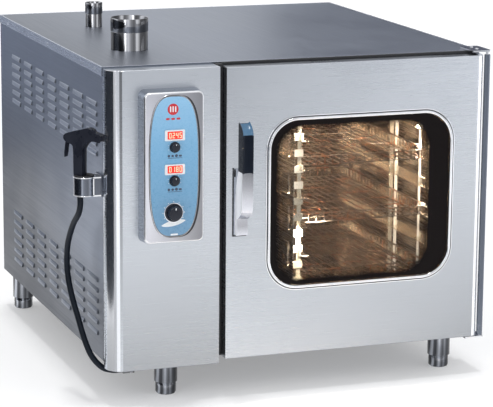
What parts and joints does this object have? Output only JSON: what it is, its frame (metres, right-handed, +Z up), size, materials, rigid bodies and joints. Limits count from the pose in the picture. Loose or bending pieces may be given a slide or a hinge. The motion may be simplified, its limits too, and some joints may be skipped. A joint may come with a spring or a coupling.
{
  "type": "combi steamer oven",
  "caption": "Counter-top steel combi steamer oven with a glazed side-hung door, control column with knobs and displays, exhaust pipes, feet and a hand shower.",
  "frame": {"origin": "centre of the footprint of the oven with its holder, knobs and hinge, at the bottom of the feet", "axes": "+Z up, the door and controls face -Y, +X to the right seen from the front"},
  "size_m": [1.0278, 1.068, 0.8664],
  "materials": {
    "brushed_steel": "brushed satin",
    "polished_steel": "polished",
    "chrome": "mirror polished",
    "cavity_steel": "heat-tinted satin",
    "black_plastic": "satin moulded",
    "black_rubber": "matt",
    "blue_panel": "printed film, two blues",
    "display_window": "lit red digits behind a window",
    "glass": "tinted, dark dotted border",
    "lamp_lens": "frosted"
  },
  "bodies": {
    "cabinet": {"base_tray": "brushed_steel", "side_panel_left": "brushed_steel", "side_panel_right": "brushed_steel", "rear_panel": "brushed_steel", "top_cover": "brushed_steel", "control_fascia": "brushed_steel", "front_frame": "polished_steel", "control_pod": "polished_steel", "foot_tube_front_left": "polished_steel", "foot_tube_front_right": "polished_steel", "foot_tube_rear_left": "polished_steel", "foot_tube_rear_right": "polished_steel", "foot_insert_front_left": "polished_steel", "foot_insert_front_right": "polished_steel", "foot_insert_rear_left": "polished_steel", "foot_insert_rear_right": "polished_steel", "hinge_bracket_top": "polished_steel", "hinge_bracket_bottom": "polished_steel", "latch_keeper": "polished_steel", "exhaust_large_pipe": "chrome", "exhaust_large_sleeve": "chrome", "exhaust_small_pipe": "chrome", "exhaust_small_sleeve": "chrome", "shower_holder": "chrome", "hose_union": "chrome", "heating_ring": "chrome", "drain_strainer": "chrome", "cavity_liner": "cavity_steel", "fan_guard": "cavity_steel", "rack_left": "cavity_steel", "rack_right": "cavity_steel", "tray_1": "cavity_steel", "tray_2": "cavity_steel", "tray_3": "cavity_steel", "shower_gun": "black_plastic", "fan_motor": "black_plastic", "door_gasket": "black_rubber", "shower_cup": "black_rubber", "shower_hose": "black_rubber", "control_membrane": "blue_panel", "display_time": "display_window", "display_temperature": "display_window", "cavity_lamp": "lamp_lens"},
    "door": {"door_shell": "brushed_steel", "door_inner_frame": "polished_steel", "window_trim": "chrome", "glass_outer": "glass", "glass_inner": "glass", "hinge_tube": "chrome", "handle_escutcheon": "polished_steel"},
    "handle": {"handle_lever": "polished_steel", "handle_grip": "black_plastic", "latch_spindle": "polished_steel"},
    "time_knob": {"knob_time": "black_plastic"},
    "temperature_knob": {"knob_temperature": "black_plastic"},
    "mode_knob": {"knob_mode": "black_plastic"},
    "fan": {"fan_wheel": "cavity_steel"},
    "trigger": {"shower_trigger": "black_plastic"}
  },
  "joints": [
    {"name": "door_hinge", "type": "hinge", "parent": "cabinet", "child": "door", "pos_m": [0.4992, -0.462, 0.44], "axis": [0, 0, 1], "range_deg": [0, 120]},
    {"name": "handle_turn", "type": "hinge", "parent": "door", "child": "handle", "pos_m": [-0.1295, -0.474, 0.42], "axis": [0, 1, 0], "range_deg": [0, 90]},
    {"name": "time_knob_turn", "type": "hinge", "parent": "cabinet", "child": "time_knob", "pos_m": [-0.3015, -0.522, 0.614], "axis": [0, 1, 0], "range_deg": [-140, 140]},
    {"name": "temperature_knob_turn", "type": "hinge", "parent": "cabinet", "child": "temperature_knob", "pos_m": [-0.302, -0.522, 0.5365], "axis": [0, 1, 0], "range_deg": [-140, 140]},
    {"name": "mode_knob_turn", "type": "hinge", "parent": "cabinet", "child": "mode_knob", "pos_m": [-0.304, -0.524, 0.463], "axis": [0, 1, 0], "range_deg": [-135, 135]},
    {"name": "fan_spin", "type": "hinge", "parent": "cabinet", "child": "fan", "pos_m": [-0.0685, -0.074, 0.45], "axis": [1, 0, 0], "continuous": true},
    {"name": "shower_trigger_squeeze", "type": "hinge", "parent": "cabinet", "child": "trigger", "pos_m": [-0.51171, -0.37272, 0.609], "axis": [-0.766, -0.6428, 0], "range_deg": [0, 16], "stiffness_Nm_per_rad": 0.05, "springref_deg": -11.46}
  ]
}
